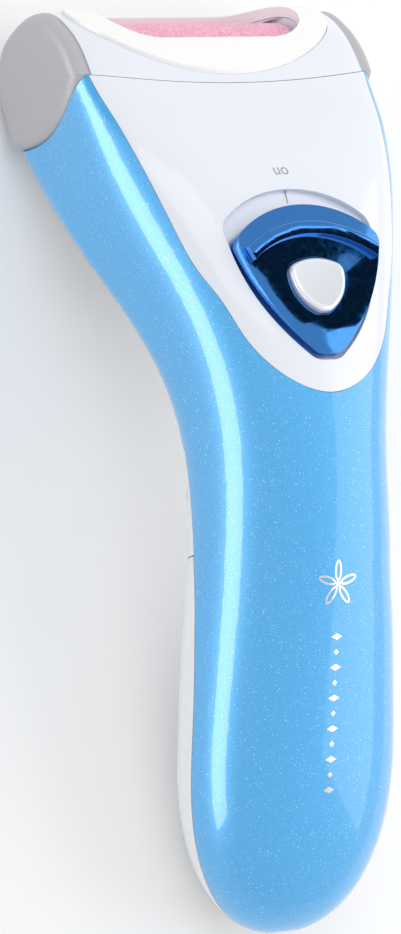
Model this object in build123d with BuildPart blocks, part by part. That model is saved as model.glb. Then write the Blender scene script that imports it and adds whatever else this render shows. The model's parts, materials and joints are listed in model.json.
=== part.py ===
from build123d import *
import math
import os

os.makedirs("parts", exist_ok=True)

# Battery-powered callus remover, lying on its back. Millimetres.
# +X is to the right, +Y runs from the handle end to the roller, +Z is up out of the face.

# ---------------------------------------------------------------- driving sizes
body_length = 177.4            # handle tip to the outside of the head
head_half_width = 33.4         # half the width across the head
body_scale_z = 1.0             # stretches the body front to back
tip_length = 34.0              # length over which the handle end rounds off
head_radius = 13.0             # round end of the head, about the roller axis
roller_axis_z = 15.0
wall = 2.6                     # shell wall
panel_thickness = 1.5
joint_gap = 0.12               # between fixed shells
sliding_gap = 0.3              # round every piece that moves
fit_gap = 0.1                  # round loose inner pieces
running_gap = 0.05             # radial, shaft in hole

roller_radius = 10.4
roller_half_length = 21.5
chamber_radius = 11.3
chamber_half_length = 22.4
partition = 1.8                # wall between the roller and each side pocket
cradle_radius = 12.6           # back of the roller housing, inside the head
cap_inner_x = 30.3
cap_outer_x = 33.9
cap_edge_radius = 2.3

window_angle = 61.5            # window normal, tipped from straight up towards the head end
window_half_length = 22.6
window_near = 9.9              # window edge on the face side
window_far = 10.9              # window edge on the back side
bezel_half_length = 28.4
bezel_near = 16.6
bezel_far = 14.6
bezel_proud = 0.7
bezel_depth = 1.3

gear_module = 0.5
gear_width = 3.0
roller_teeth = 32
idler_teeth = 24
pinion_teeth = 12
gear_inner_x = 25.0            # near face of the gear train, left of centre
motor_distance = 21.4          # roller axis to motor axis
motor_direction = 16.0         # degrees above the line straight back from the roller

cell_radius = 7.25             # AA cells
cell_length = 49.0
cell_nub = 1.5
cell_spacing = 15.0
handle_angle = 15.5            # slope of the cells along the handle
cell_centre_y = -44.0
cell_centre_z = 22.4
bay_length = 56.0

switch_y = 29.0                # centre of the slide switch
switch_z = 50.9
switch_angle = 10.4            # slope of the switch bed, down towards the head
switch_travel = 3.5
dish_depth = 3.0
button_travel = 1.2

cover_edge_y = -18.0           # battery cover meets the back shell here
cover_angle = 27.0             # the cover slides off along this slope

# ---------------------------------------------------------------- body outline
tip_y = -88.8
end_y = tip_y + body_length
roller_y = end_y - head_radius
stretch = body_length / 177.4

# station, front height, back height, half width / head half width, widest height, squareness
stations = [
    (-90.0, 27.6, -6.0, 0.655, 9.9, 2.15, 2.15),
    (-60.0, 34.2, 0.2, 0.641, 19.0, 2.15, 2.15),
    (-34.0, 43.0, 7.8, 0.608, 25.0, 2.2, 2.2),
    (-10.0, 49.2, 15.3, 0.567, 30.2, 2.25, 2.15),
    (8.0, 51.7, 17.8, 0.596, 31.0, 2.5, 2.15),
    (22.0, 51.6, 16.2, 0.687, 28.0, 2.95, 2.2),
    (36.0, 49.1, 12.3, 0.82, 22.5, 3.45, 2.6),
    (48.0, 45.4, 7.6, 0.928, 18.6, 4.0, 3.4),
    (60.0, 39.4, 3.4, 0.985, 16.1, 5.6, 5.2),
    (70.0, 33.4, 0.6, 1.0, 14.9, 7.6, 7.6),
    (80.0, 29.3, -0.7, 1.004, 14.4, 8.0, 8.0),
    (90.0, 27.2, -1.1, 0.997, 14.3, 8.0, 8.0),
]


def column_curve(index):
    points = [(row[0] * stretch, row[index]) for row in stations]
    return Spline(*points, mode=Mode.PRIVATE)


curves = [column_curve(index) for index in range(1, 7)]


def curve_height(curve, along):
    low, high = 0.0, 1.0
    for _ in range(24):
        middle = (low + high) / 2
        if curve.position_at(middle).X < along:
            low = middle
        else:
            high = middle
    return curve.position_at((low + high) / 2).Y


def section_sizes(along, inset):
    front, back, half, widest, power_front, power_back = [curve_height(c, along) for c in curves]
    widest = widest * body_scale_z
    front = front * body_scale_z - inset
    back = back * body_scale_z + inset
    half = half * head_half_width - inset
    if along < tip_y + tip_length:
        span = tip_length - inset
        part_way = min(1.0, (tip_y + tip_length - along) / span)
        keep = (1 - part_way ** 2.15) ** (1 / 2.15)
        front = widest + (front - widest) * keep
        back = widest + (back - widest) * keep
        half = half * keep
    if along > roller_y:
        part_way = min(1.0, (along - roller_y) / (head_radius - inset))
        keep = math.sqrt(1 - part_way * part_way)
        front = widest + (front - widest) * keep
        back = widest + (back - widest) * keep
        half = half - 3.0 * (1 - keep)
    return front, back, half, widest, power_front, power_back


def section_point(sizes, angle):
    front, back, half, widest, power_front, power_back = sizes
    across, up = math.cos(angle), math.sin(angle)
    power = power_front if up >= 0 else power_back
    height = front - widest if up >= 0 else widest - back
    reach = (abs(across) ** power + abs(up) ** power) ** (-1 / power)
    return (half * across * reach, widest + height * up * reach)


section_points = 28


def body_loft(inset):
    """Solid of the body surface moved inwards by inset."""
    tip = tip_y + inset
    span = tip_length - inset
    places = [tip + span * (1 - math.cos(math.radians(q))) for q in (6, 17, 30, 45, 62, 90)]
    places += [along * stretch for along in (-38, -22, -6, 9, 22, 35, 47, 58, 67)]
    radius = head_radius - inset
    places += [roller_y + radius * math.sin(math.radians(q)) for q in (0, 25, 46, 63, 76, 86)]
    turns = [2 * math.pi * k / section_points for k in range(section_points)]
    turns = [turn + 0.125 * math.sin(4 * turn) for turn in turns]
    spacing = [k / section_points for k in range(section_points + 1)]
    with BuildPart() as body:
        for along in places:
            sizes = section_sizes(along, inset)
            with BuildSketch(Plane.XZ.offset(-along)):
                with BuildLine():
                    # One shared spacing of the parameter keeps the lofted face light.
                    add(Edge.make_spline([section_point(sizes, turn) for turn in turns],
                                         periodic=True, parameters=spacing))
                make_face()
        loft()
    return body.part


def block(x0, x1, y0, y1, z0, z1):
    with BuildPart() as solid:
        with Locations(((x0 + x1) / 2, (y0 + y1) / 2, (z0 + z1) / 2)):
            Box(x1 - x0, y1 - y0, z1 - z0)
    return solid.part


def common(first, *others):
    """What all the given solids share."""
    with BuildPart() as shared:
        add(first)
        for other in others:
            add(other, mode=Mode.INTERSECT)
    return shared.part


def without(first, *others):
    """The first solid less the others."""
    with BuildPart() as rest:
        add(first)
        for other in others:
            add(other, mode=Mode.SUBTRACT)
    return rest.part


def rod_x(radius, y, z, x0, x1):
    """Round bar along X."""
    with BuildPart() as solid:
        with BuildSketch(Plane.YZ.offset(x0)):
            with Locations((y, z)):
                Circle(radius)
        extrude(amount=x1 - x0)
    return solid.part


def rod_on(plane, radius, x, y, z0, z1):
    """Round bar along the normal of a plane."""
    with BuildPart() as solid:
        with BuildSketch(plane.offset(z0)):
            with Locations((x, y)):
                Circle(radius)
        extrude(amount=z1 - z0)
    return solid.part


def box_on(plane, x0, x1, y0, y1, z0, z1):
    with BuildPart() as solid:
        with BuildSketch(plane.offset(z0)):
            with Locations(((x0 + x1) / 2, (y0 + y1) / 2)):
                Rectangle(x1 - x0, y1 - y0)
        extrude(amount=z1 - z0)
    return solid.part


huge = 200.0
outer_body = body_loft(0.0)
seat_body = body_loft(panel_thickness)
seat_clear_body = body_loft(panel_thickness + joint_gap)
inner_body = body_loft(wall)
loose_body = body_loft(wall + fit_gap)


redraw_steps = 12              # pieces each curve of a grown outline is redrawn through


def redrawn(outline):
    """The same closed outline with plain lines, arcs and splines whose ends meet exactly."""
    edges = outline.wire().order_edges()
    following = [edges[1] @ 0, edges[1] @ 1]
    start = edges[0] @ 0
    if min((start - point).length for point in following) < 0.001:
        start = edges[0] @ 1
    first = start
    with BuildSketch() as fresh:
        with BuildLine():
            for edge in edges:
                shares = [step / redraw_steps for step in range(redraw_steps + 1)]
                if (edge @ 0 - start).length > (edge @ 1 - start).length:
                    shares.reverse()
                end = first if edge is edges[-1] else edge @ shares[-1]
                if edge.geom_type == GeomType.LINE:
                    Line(start, end)
                elif edge.geom_type == GeomType.CIRCLE:
                    ThreePointArc(start, edge @ 0.5, end)
                else:
                    Spline(start, *[edge @ share for share in shares[1:-1]], end)
                start = end
        make_face()
    return fresh.sketch


# ---------------------------------------------------------------- dividing surfaces
back_edge_heights = [(-92.0, 5.2), (-72.2, 14.2), (-55.9, 20.0), (-34.8, 24.9), (-12.0, 27.0),
                     (0.0, 27.2), (14.0, 27.0), (26.0, 25.0), (40.0, 22.0), (56.0, 19.0), (95.0, 15.0)]
back_edge_widths = [(-30.0, 45.0), (-8.0, 26.0), (2.0, 18.2), (13.0, 17.5), (26.0, 20.2), (36.0, 24.6),
                    (44.0, 27.6), (56.0, 29.4), (95.0, 30.4)]


def below_line(gap):
    line = [(y * stretch, z * body_scale_z - gap) for y, z in back_edge_heights]
    with BuildPart() as zone:
        with BuildSketch(Plane.YZ.offset(-60)):
            with BuildLine():
                edge = Spline(*line)
                Polyline(edge @ 1, (line[-1][0], -40), (line[0][0], -40), edge @ 0)
            make_face()
        extrude(amount=120)
    return zone.part


def back_zone(gap):
    """The region of the back shell and battery cover: below one line and inside another."""
    half = [(x * head_half_width / 33.4 - gap, y * stretch) for y, x in back_edge_widths]
    with BuildPart() as zone:
        with BuildSketch(Plane.XY.offset(-45)):
            with BuildLine():
                right = Spline(*half)
                Polyline(right @ 1, (-half[-1][0], half[-1][1]))
                left = Spline(*[(-x, y) for x, y in reversed(half)])
                Polyline(left @ 1, (-half[0][0], -120), (half[0][0], -120), right @ 0)
            make_face()
        extrude(amount=100)
        add(below_line(gap), mode=Mode.INTERSECT)
    return zone.part


tongue = [(7.4, 0.0), (9.2, 6.4), (13.2, 11.6), (18.4, 15.3), (26.4, 18.7), (31.5, 21.2),
          (41.2, 24.4), (50.2, 26.7), (58.4, 28.5), (80.0, 31.6)]
seam_centre_y = roller_y - 5.0
seam_end_y = roller_y - 2.4


def seam_line(shift):
    """Plan curve of the seam across the head, moved along Y."""
    ends = seam_end_y + (seam_end_y - seam_centre_y) * 1.5 + shift
    return ThreePointArc((-50, ends), (0, seam_centre_y + shift), (50, ends))


def tongue_zone(gap):
    """Plan outline of the face panel, short of the seam by half the gap."""
    right = [(x - gap if x > 0 else 0.0, y * stretch) for y, x in tongue]
    right[0] = (0.0, tongue[0][0] * stretch + gap)
    left = [(-x, y) for x, y in reversed(right)]
    with BuildPart() as zone:
        with BuildSketch(Plane.XY.offset(26.5)):
            with BuildLine():
                Spline(*(left[:-1] + right))
                Line(right[-1], left[0])
            make_face()
        extrude(amount=60)
        with BuildSketch(Plane.XY.offset(20)):
            with BuildLine():
                seam = seam_line(-gap)
                Polyline(seam @ 1, (50, 120), (-50, 120), seam @ 0)
            make_face()
        extrude(amount=70, mode=Mode.SUBTRACT)
    return zone.part


def nose_zone(gap):
    """The head beyond the seam, with the round back of the roller cradle."""
    with BuildPart() as zone:
        with BuildSketch(Plane.XY.offset(-10)):
            with BuildLine():
                seam = seam_line(-gap)
                Polyline(seam @ 1, (50, 120), (-50, 120), seam @ 0)
            make_face()
        extrude(amount=80)
        with BuildSketch(Plane.YZ.offset(-cap_inner_x - gap)):
            with Locations((roller_y, roller_axis_z)):
                Circle(cradle_radius + gap)
        extrude(amount=2 * (cap_inner_x + gap))
    return zone.part


def cap_outline(grow):
    """Side view of a head cap: the head's own edge, then a curve across the side."""
    edge_x = cap_inner_x + 0.6
    places = [roller_y + offset for offset in (-2.4, 0.0, 3.0)]
    places += [roller_y + (head_radius - 0.3) * math.sin(math.radians(q)) for q in (30, 50, 68, 82)]

    def edge_point(along, side):
        front, back, half, widest, power_front, power_back = section_sizes(along, 0.0)
        part_way = min(0.999, edge_x / half) if half > edge_x else 0.999
        if side > 0:
            return widest + (front - widest) * (1 - part_way ** power_front) ** (1 / power_front)
        return max(0.6, widest - (widest - back) * (1 - part_way ** power_back) ** (1 / power_back))

    upper = [(along, edge_point(along, 1)) for along in places[:5]]
    lower = [(along, edge_point(along, -1)) for along in reversed(places[:5])]
    front_edge = [*upper, (roller_y + head_radius - 1.3, roller_axis_z + 4.4)]
    front_edge += [(roller_y + head_radius - 0.6, roller_axis_z - 1.2)]
    front_edge += [(roller_y + head_radius - 1.9, roller_axis_z - 6.6), *lower]
    back_corner = roller_y - 11.3
    side_edge = [(back_corner, edge_point(back_corner, -1)), (roller_y - 12.2, roller_axis_z - 6.0),
                 (roller_y - 12.2, roller_axis_z - 0.6), (roller_y - 11.0, roller_axis_z + 4.6),
                 (roller_y - 8.6, roller_axis_z + 9.0), (roller_y - 5.4, roller_axis_z + 12.8)]
    with BuildSketch() as outline:
        with BuildLine():
            head_edge = Spline(*front_edge)
            bottom = Spline(head_edge @ 1, (roller_y - 7.0, edge_point(roller_y - 7.0, -1)),
                            side_edge[0])
            Spline(bottom @ 1, *side_edge[1:], head_edge @ 0)
        make_face()
        if grow > 0:
            offset(amount=grow)
    return redrawn(outline.sketch) if grow > 0 else outline.sketch


def cap_zone(x0, x1, grow):
    with BuildPart() as zone:
        with BuildSketch(Plane.YZ.offset(x0)):
            add(cap_outline(grow))
        extrude(amount=x1 - x0)
    return zone.part


# ---------------------------------------------------------------- shared places
motor_turn = math.radians(motor_direction)
motor_y = roller_y - motor_distance * math.cos(motor_turn)
motor_z = roller_axis_z + motor_distance * math.sin(motor_turn)
roller_idler = gear_module * (roller_teeth + idler_teeth) / 2
idler_motor = gear_module * (idler_teeth + pinion_teeth) / 2
bend = math.acos((roller_idler ** 2 + motor_distance ** 2 - idler_motor ** 2)
                 / (2 * roller_idler * motor_distance))
idler_y = roller_y - roller_idler * math.cos(motor_turn + bend)
idler_z = roller_axis_z + roller_idler * math.sin(motor_turn + bend)
gear_outer_x = gear_inner_x + gear_width

switch_slope = math.radians(switch_angle)
switch_plane = Plane(origin=(0, switch_y, switch_z), x_dir=(1, 0, 0),
                     z_dir=(0, math.sin(switch_slope), math.cos(switch_slope)))
handle_slope = math.radians(handle_angle)
handle_plane = Plane(origin=(0, cell_centre_y, cell_centre_z), x_dir=(1, 0, 0),
                     z_dir=(0, -math.sin(handle_slope), math.cos(handle_slope)))
window_slope = math.radians(window_angle)
window_plane = Plane(origin=(0, roller_y, roller_axis_z), x_dir=(1, 0, 0),
                     z_dir=(0, math.sin(window_slope), math.cos(window_slope)))

screw_places = [(-12.3, -6.0, 21.2, 24.6), (12.3, -6.0, 21.2, 24.6),
                (-23.2, 41.0, 15.0, 19.0), (23.2, 41.0, 15.0, 19.0)]   # x, y, head seat, bosses meet
screw_radius = 1.3
screw_head_radius = 2.5
screw_head_height = 1.4
screw_length = 11.0
boss_radius = 3.2
thread_gap = 0.03

bed_gap = 0.8                  # round the slider in its dish
bed_thickness = 1.6
stem_radius = 3.9
stem_bottom = -6.0
stem_slot_half = stem_radius + sliding_gap
pad_grow = 2.6
pad_bottom = -dish_depth - bed_thickness
post_radius = 1.9
post_places = [(-11.5, 9.0), (11.5, 9.0), (0.0, -13.0)]
board_top = -9.6
board_thickness = 1.6


# ---------------------------------------------------------------- shells
trimmed_outer = common(outer_body, block(-huge, huge, -huge, huge, 0, huge))
nose_cut = nose_zone(joint_gap)
cap_cuts = [cap_zone(cap_inner_x - joint_gap, 60, joint_gap),
            cap_zone(-60, -cap_inner_x + joint_gap, joint_gap)]

with BuildPart() as shell_walls:
    add(trimmed_outer)
    add(inner_body, mode=Mode.SUBTRACT)
    add(nose_cut, mode=Mode.SUBTRACT)
    for cut in cap_cuts:
        add(cut, mode=Mode.SUBTRACT)


def slider_outline(grow, travel=0.0):
    """Rounded triangle of the slide switch, point towards the handle, stretched by a travel."""
    with BuildSketch() as outline:
        with BuildLine():
            top = ThreePointArc((-15.8, 8.2 + travel), (0, 14.6 + travel), (15.8, 8.2 + travel))
            right_top = top @ 1
            left_top = top @ 0
            if travel > 0:
                right_top = Line(top @ 1, (15.2, 8.2)) @ 1
                left_top = Line(top @ 0, (-15.2, 8.2)) @ 1
            right = ThreePointArc(right_top, (10.6, -5.2), (2.2, -14.6))
            low = Line(right @ 1, (-2.2, -14.6))
            ThreePointArc(low @ 1, (-10.6, -5.2), left_top)
        make_face()
        fillet(outline.vertices().filter_by_position(Axis.Y, 8.0 + travel, 20), radius=2.8)
        fillet(outline.vertices().filter_by_position(Axis.Y, -20, -14), radius=3.2)
        if grow > 0:
            offset(amount=grow)
    return redrawn(outline.sketch) if grow > 0 else outline.sketch


def slider_prism(grow, z0, z1, travel=0.0):
    with BuildPart() as solid:
        with BuildSketch(switch_plane.offset(z0)):
            add(slider_outline(grow, travel))
        extrude(amount=z1 - z0)
    return solid.part


def screw_bosses(upper, body):
    """All four screw bosses of one shell, ended inside a body."""
    with BuildPart() as bosses:
        for x, y, head_z, join_z in screw_places:
            if upper:
                add(rod_on(Plane.XY, boss_radius, x, y, join_z + joint_gap, 60))
            else:
                add(rod_on(Plane.XY, boss_radius, x, y, -5, join_z))
        add(body, mode=Mode.INTERSECT)
    return bosses.part


pad_space = slider_prism(pad_grow + 0.3, -14.0, 4.0, switch_travel)
ledge = without(common(seat_clear_body, tongue_zone(-1.0)), inner_body, nose_cut, *cap_cuts)

with BuildPart() as front_shell:
    add(shell_walls.part)
    add(back_zone(-joint_gap / 2), mode=Mode.SUBTRACT)
    add(tongue_zone(0.0), mode=Mode.SUBTRACT)
    add(ledge)
    add(pad_space, mode=Mode.SUBTRACT)
    add(screw_bosses(True, seat_clear_body))
    for x, y, head_z, join_z in screw_places:
        add(rod_on(Plane.XY, screw_radius + thread_gap, x, y, join_z, head_z + screw_length + 0.6),
            mode=Mode.SUBTRACT)
front_shell.part.label = "front_shell"
export_step(front_shell.part, "parts/front_shell.step")


# ---------------------------------------------------------------- back shell
with BuildPart() as back_shell:
    add(shell_walls.part)
    add(back_zone(joint_gap / 2), mode=Mode.INTERSECT)
    add(block(-60, 60, -120, cover_edge_y, -10, 60), mode=Mode.SUBTRACT)
    add(screw_bosses(False, trimmed_outer))
    for x, y, head_z, join_z in screw_places:
        add(rod_on(Plane.XY, screw_radius + thread_gap, x, y, head_z - 1, join_z + 1),
            mode=Mode.SUBTRACT)
        add(rod_on(Plane.XY, screw_head_radius + fit_gap, x, y, -5, head_z), mode=Mode.SUBTRACT)
back_shell.part.label = "back_shell"
export_step(back_shell.part, "parts/back_shell.step")

with BuildPart() as shell_screws:
    for x, y, head_z, join_z in screw_places:
        with BuildSketch(Plane.XY.offset(head_z - screw_head_height)):
            with Locations((x, y)):
                Circle(screw_head_radius)
        extrude(amount=screw_head_height)
        with BuildSketch(Plane.XY.offset(head_z)):
            with Locations((x, y)):
                Circle(screw_radius)
        extrude(amount=screw_length)
        with BuildSketch(Plane.XY.offset(head_z - screw_head_height)):
            with Locations((x, y)):
                Rectangle(2.6, 0.6)
                Rectangle(0.6, 2.6)
        extrude(amount=0.8, mode=Mode.SUBTRACT)
shell_screws.part.label = "shell_screws"
export_step(shell_screws.part, "parts/shell_screws.step")

# ---------------------------------------------------------------- battery cover
tab_half_width = 3.5
tab_reach = 2.0
tab_rise = 1.35                # clear of the back shell's inner face
cover_inner_z = curve_height(curves[1], cover_edge_y) * body_scale_z + wall

with BuildPart() as battery_cover:
    add(common(below_line(sliding_gap), block(-60, 60, -120, cover_edge_y - sliding_gap, -10, 60)))
    add(trimmed_outer, mode=Mode.INTERSECT)
    add(inner_body, mode=Mode.SUBTRACT)
    root = block(-tab_half_width, tab_half_width, cover_edge_y - 5.0, cover_edge_y - 1.5,
                 cover_inner_z - 4.0, cover_inner_z + tab_rise + 1.2)
    add(common(root, seat_body))
    add(block(-tab_half_width, tab_half_width, cover_edge_y - 5.0, cover_edge_y + tab_reach,
              cover_inner_z + tab_rise, cover_inner_z + tab_rise + 1.2))
battery_cover.part.label = "battery_cover"
export_step(battery_cover.part, "parts/battery_cover.step")

# ---------------------------------------------------------------- face panel
with BuildPart() as face_panel:
    add(without(common(trimmed_outer, tongue_zone(joint_gap)), seat_body, nose_cut))
    pad = slider_prism(pad_grow, pad_bottom, 4.0, switch_travel)
    add(common(pad, trimmed_outer, tongue_zone(joint_gap)))
    for cut in cap_cuts:
        add(cut, mode=Mode.SUBTRACT)
    add(slider_prism(bed_gap, -dish_depth, 8.0, switch_travel), mode=Mode.SUBTRACT)
    for x, y in post_places:
        add(rod_on(switch_plane, post_radius, x, y, board_top, pad_bottom))
        add(rod_on(switch_plane, 0.8, x, y, board_top - 1, pad_bottom - 0.6), mode=Mode.SUBTRACT)
    with BuildSketch(switch_plane.offset(pad_bottom - 1)):
        with Locations((0, switch_travel / 2)):
            SlotCenterToCenter(switch_travel, 2 * stem_slot_half, rotation=90)
    extrude(amount=bed_thickness + 2, mode=Mode.SUBTRACT)
face_panel.part.label = "face_panel"
export_step(face_panel.part, "parts/face_panel.step")

# ---------------------------------------------------------------- head
proud_head = body_loft(-bezel_proud)
bezel_seat = body_loft(bezel_depth)
recess_head = body_loft(bezel_depth + joint_gap)


def bezel_prism(grow):
    with BuildPart() as solid:
        with BuildSketch(window_plane.offset(2.5)):
            with Locations((0, (bezel_far - bezel_near) / 2)):
                Ellipse(bezel_half_length + grow, (bezel_far + bezel_near) / 2 + grow)
        extrude(amount=20)
    return solid.part


with BuildPart() as window_cut:
    with BuildSketch(window_plane.offset(2.0)):
        with Locations((0, (window_far - window_near) / 2)):
            SlotOverall(2 * window_half_length, window_far + window_near)
    extrude(amount=20)

side_pocket_radius = chamber_radius - 0.6
pocket_x = chamber_half_length + partition
idler_tip_radius = gear_module * (idler_teeth / 2 + 0.8)
journal_radius = 3.0
bush_radius = 4.5
ear_radius = 3.2
plate_x = (chamber_half_length + 0.4, chamber_half_length + 2.0)
plunger_radius = 2.55

with BuildPart() as roller_housing:
    add(common(trimmed_outer, nose_zone(0.0)))
    add(block(-cap_inner_x + joint_gap, cap_inner_x - joint_gap, 40, 120, -10, 60),
        mode=Mode.INTERSECT)
    add(rod_x(chamber_radius, roller_y, roller_axis_z, -chamber_half_length, chamber_half_length),
        mode=Mode.SUBTRACT)
    add(window_cut.part, mode=Mode.SUBTRACT)
    add(without(bezel_prism(joint_gap), recess_head), mode=Mode.SUBTRACT)
    for x0, x1 in ((pocket_x, 40), (-40, -pocket_x)):
        add(rod_x(side_pocket_radius, roller_y, roller_axis_z, x0, x1), mode=Mode.SUBTRACT)
    add(rod_x(idler_tip_radius + 0.7, idler_y, idler_z, -40, -pocket_x), mode=Mode.SUBTRACT)
    add(rod_x(ear_radius + fit_gap, idler_y, idler_z, -plate_x[1] - fit_gap, -plate_x[0] + fit_gap),
        mode=Mode.SUBTRACT)
    add(rod_x(bush_radius + thread_gap, roller_y, roller_axis_z, -40, 0), mode=Mode.SUBTRACT)
    add(rod_x(plunger_radius + running_gap, roller_y, roller_axis_z, 0, 40), mode=Mode.SUBTRACT)
roller_housing.part.label = "roller_housing"
export_step(roller_housing.part, "parts/roller_housing.step")

with BuildPart() as window_bezel:
    add(common(proud_head, bezel_prism(0.0)))
    add(bezel_seat, mode=Mode.SUBTRACT)
    add(window_cut.part, mode=Mode.SUBTRACT)
window_bezel.part.label = "window_bezel"
export_step(window_bezel.part, "parts/window_bezel.step")

lip_depth = 1.2
lip_thickness = 1.0
plunger_tail_radius = 1.5
plunger_travel = 3.1
plunger_tail_end = 29.4


def head_cap(name, side):
    inner, outer = cap_inner_x * side, cap_outer_x * side
    with BuildPart() as cap:
        add(cap_zone(min(inner, outer), max(inner, outer), 0.0))
        edges = cap.edges().filter_by_position(Axis.X, outer - 0.01, outer + 0.01)
        fillet(edges, radius=cap_edge_radius)
        lip = sorted((inner, inner - lip_depth * side))
        add(rod_x(side_pocket_radius - 2 * fit_gap, roller_y, roller_axis_z, *lip))
        add(rod_x(side_pocket_radius - lip_thickness, roller_y, roller_axis_z, *lip),
            mode=Mode.SUBTRACT)
        if side > 0:
            add(rod_x(plunger_tail_radius + running_gap, roller_y, roller_axis_z, inner,
                      plunger_tail_end + plunger_travel + 0.2), mode=Mode.SUBTRACT)
    cap.part.label = name
    export_step(cap.part, f"parts/{name}.step")
    return cap.part


left_cap = head_cap("left_cap", -1)
right_cap = head_cap("right_cap", 1)

# ---------------------------------------------------------------- roller
core_radius = 8.2
sleeve_chamfer = 0.7

with BuildPart() as roller_sleeve:
    add(rod_x(roller_radius, roller_y, roller_axis_z, -roller_half_length, roller_half_length))
    chamfer(roller_sleeve.edges().filter_by(GeomType.CIRCLE), length=sleeve_chamfer)
    add(rod_x(core_radius, roller_y, roller_axis_z, -30, 30), mode=Mode.SUBTRACT)
roller_sleeve.part.label = "roller_sleeve"
export_step(roller_sleeve.part, "parts/roller_sleeve.step")

plunger_tip_x = roller_half_length - 3.0
with BuildPart() as roller_core:
    add(rod_x(core_radius, roller_y, roller_axis_z, -roller_half_length, roller_half_length))
    add(rod_x(journal_radius, roller_y, roller_axis_z, -gear_outer_x - 0.3, -roller_half_length))
    add(rod_x(plunger_radius + running_gap, roller_y, roller_axis_z, plunger_tip_x - 1.0, 30),
        mode=Mode.SUBTRACT)
    for x0, x1 in ((-roller_half_length, -roller_half_length + 1.5),
                   (roller_half_length - 1.5, roller_half_length)):
        ring = without(rod_x(core_radius - 1.4, roller_y, roller_axis_z, x0, x1),
                       rod_x(4.6, roller_y, roller_axis_z, x0, x1))
        add(ring, mode=Mode.SUBTRACT)
roller_core.part.label = "roller_core"
export_step(roller_core.part, "parts/roller_core.step")

with BuildPart() as drive_bush:
    add(rod_x(bush_radius, roller_y, roller_axis_z, -pocket_x, -chamber_half_length))
    add(rod_x(bush_radius + 1.0, roller_y, roller_axis_z, -pocket_x - 0.5, -pocket_x))
    add(rod_x(journal_radius + running_gap, roller_y, roller_axis_z, -40, 0), mode=Mode.SUBTRACT)
drive_bush.part.label = "drive_bush"
export_step(drive_bush.part, "parts/drive_bush.step")

collar_x = (pocket_x + 0.1, pocket_x + 1.6)
with BuildPart() as idle_plunger:
    add(rod_x(plunger_radius, roller_y, roller_axis_z, plunger_tip_x, collar_x[0]))
    chamfer(idle_plunger.edges().filter_by_position(Axis.X, plunger_tip_x - 0.1, plunger_tip_x + 0.1),
            length=0.5)
    add(rod_x(plunger_radius + 1.8, roller_y, roller_axis_z, *collar_x))
    add(rod_x(plunger_tail_radius, roller_y, roller_axis_z, collar_x[1], plunger_tail_end))
idle_plunger.part.label = "idle_plunger"
export_step(idle_plunger.part, "parts/idle_plunger.step")


def coil(centre, direction, radius, height, turns, wire, cone=0.0):
    with BuildPart() as spring:
        with BuildLine() as path:
            Helix(pitch=height / turns, height=height, radius=radius, center=centre,
                  direction=direction, cone_angle=cone)
        with BuildSketch(Plane(origin=path.line @ 0, z_dir=path.line % 0)):
            Circle(wire)
        sweep(transition=Transition.ROUND)
    return spring.part


plunger_wire = 0.3
spring_x = (collar_x[1] + plunger_wire, cap_inner_x - plunger_wire)
plunger_spring = coil((spring_x[0], roller_y, roller_axis_z), (1, 0, 0), 2.6,
                      spring_x[1] - spring_x[0], 2.5, plunger_wire)
plunger_spring.label = "plunger_spring"
export_step(plunger_spring, "parts/plunger_spring.step")

# ---------------------------------------------------------------- gear train
tooth_share = 0.92             # tooth thickness against the even half pitch


def involute(angle):
    return math.tan(angle) - angle


def gear_angle(previous_angle, previous_teeth, teeth, direction):
    """Turn that puts a gap of the next gear on the line to the one before it."""
    behind = (direction - previous_angle) * previous_teeth / (2 * math.pi)
    return direction + math.pi - (2 * math.pi / teeth) * (0.5 - behind)


def gear(name, teeth, y, z, first_angle, bore):
    pitch_radius = gear_module * teeth / 2
    base = pitch_radius * math.cos(math.radians(20))
    tip = pitch_radius + 0.8 * gear_module
    low = pitch_radius - 1.1 * gear_module
    start = max(base, low)
    at_pitch = tooth_share * math.pi / 2 / teeth + involute(math.radians(20))
    flank = []
    for step in range(5):
        radius = start + (tip - start) * step / 4
        flank.append((radius, at_pitch - involute(math.acos(min(1.0, base / radius)))))
    if low < start:
        flank.insert(0, (low, flank[0][1]))
    points = []
    for tooth in range(teeth):
        middle = first_angle + 2 * math.pi * tooth / teeth
        for radius, half in flank:
            points.append((y + radius * math.cos(middle - half), z + radius * math.sin(middle - half)))
        for radius, half in reversed(flank):
            points.append((y + radius * math.cos(middle + half), z + radius * math.sin(middle + half)))
    with BuildPart() as wheel:
        with BuildSketch(Plane.YZ.offset(-gear_outer_x)):
            with BuildLine():
                Polyline(*points, close=True)
            make_face()
            with Locations((y, z)):
                Circle(bore, mode=Mode.SUBTRACT)
        extrude(amount=gear_width)
    wheel.part.label = name
    export_step(wheel.part, f"parts/{name}.step")
    return wheel.part


to_idler = math.atan2(idler_z - roller_axis_z, idler_y - roller_y)
to_motor = math.atan2(motor_z - idler_z, motor_y - idler_y)
idler_first = gear_angle(0.0, roller_teeth, idler_teeth, to_idler)
pinion_first = gear_angle(idler_first, idler_teeth, pinion_teeth, to_motor)
pin_radius = 1.0
gear("roller_gear", roller_teeth, roller_y, roller_axis_z, 0.0, journal_radius)
gear("idler_gear", idler_teeth, idler_y, idler_z, idler_first, pin_radius + running_gap)
gear("motor_pinion", pinion_teeth, motor_y, motor_z, pinion_first, pin_radius)


# ---------------------------------------------------------------- motor
can_radius = 10.05
can_flat = 7.55                # half thickness across the flats
can_wall = 0.8
can_length = 25.0
can_left = -plate_x[0]
can_right = can_left + can_length
motor_boss_radius = 3.0
shaft_gap = running_gap
shaft_radius = pin_radius


def motor_round(radius, flat, x0, x1):
    """Cylinder with two flats, about the motor axis."""
    with BuildPart() as solid:
        with BuildSketch(Plane.YZ.offset(x0)):
            with Locations((motor_y, motor_z)):
                Circle(radius)
                Rectangle(2 * flat, 2 * radius, rotation=-motor_direction, mode=Mode.INTERSECT)
        extrude(amount=x1 - x0)
    return solid.part


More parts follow.
